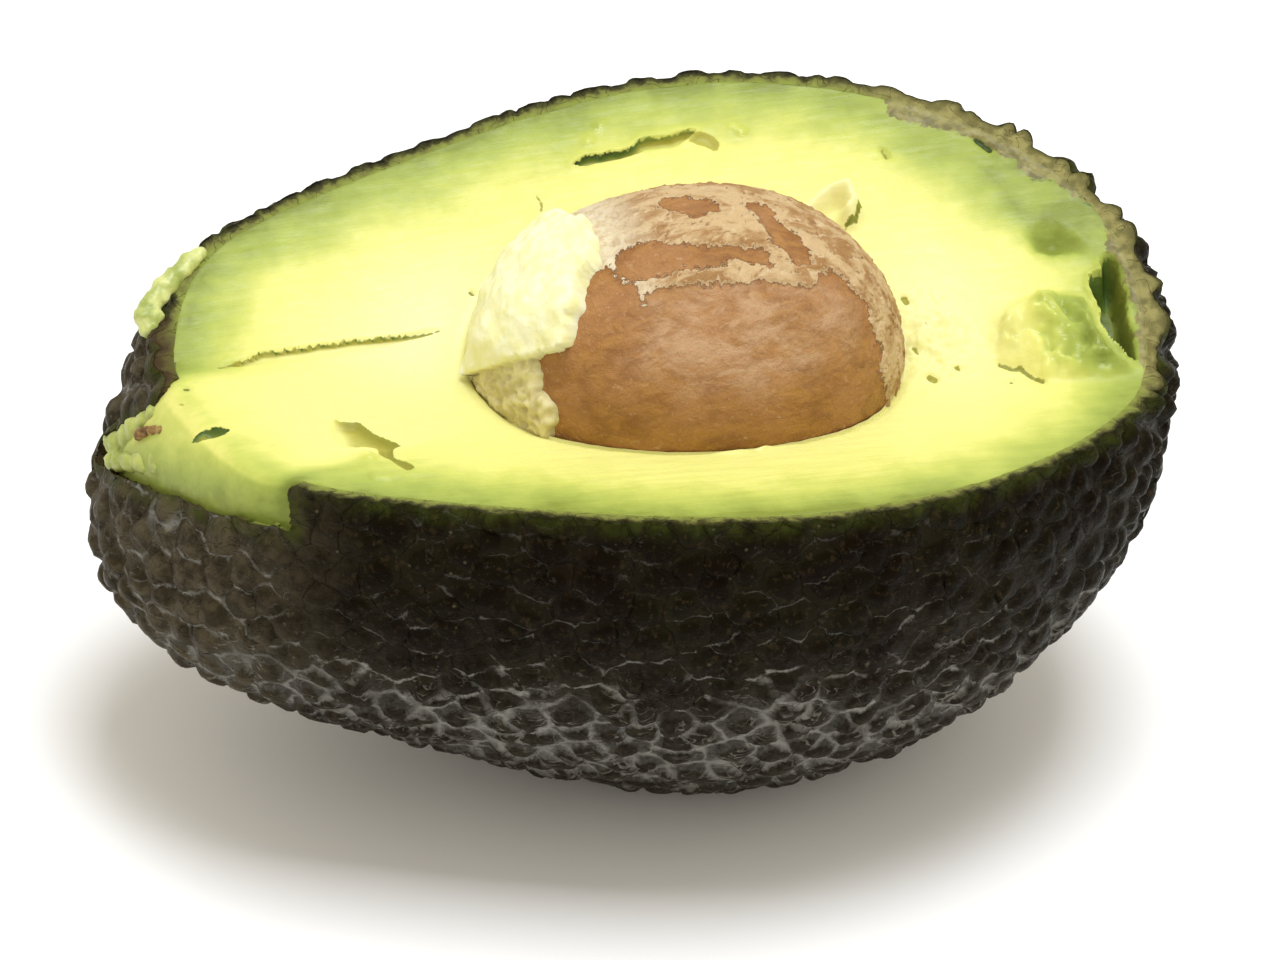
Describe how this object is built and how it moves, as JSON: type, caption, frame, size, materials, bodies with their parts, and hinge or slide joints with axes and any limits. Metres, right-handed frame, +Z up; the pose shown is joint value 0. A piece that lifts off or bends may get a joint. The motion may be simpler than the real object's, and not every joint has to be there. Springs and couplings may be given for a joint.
{
  "type": "avocado half with pit",
  "caption": "Avocado cut lengthwise, lying on its peel: dark warty peel, pale green flesh torn at both ends, and the brown pit still seated in its hollow.",
  "frame": {"origin": "on the table, under the middle of the half's bounding box", "axes": "+X along the fruit from the stem end to the blossom end, +Z up, out of the cut face"},
  "size_m": [0.1102, 0.073, 0.0644],
  "materials": {
    "peel": "waxy, warty, almost black green",
    "flesh": "moist, cream to yellow, green beside the peel",
    "pit": "satin orange brown with papery beige patches",
    "flesh_crumbs": "moist, mashed, yellow green",
    "stem_remnant": "dry, rough, orange brown"
  },
  "bodies": {
    "root": {"peel": "peel", "flesh": "flesh", "pit": "pit", "flesh_crumbs": "flesh_crumbs", "stem_remnant": "stem_remnant"}
  },
  "joints": []
}
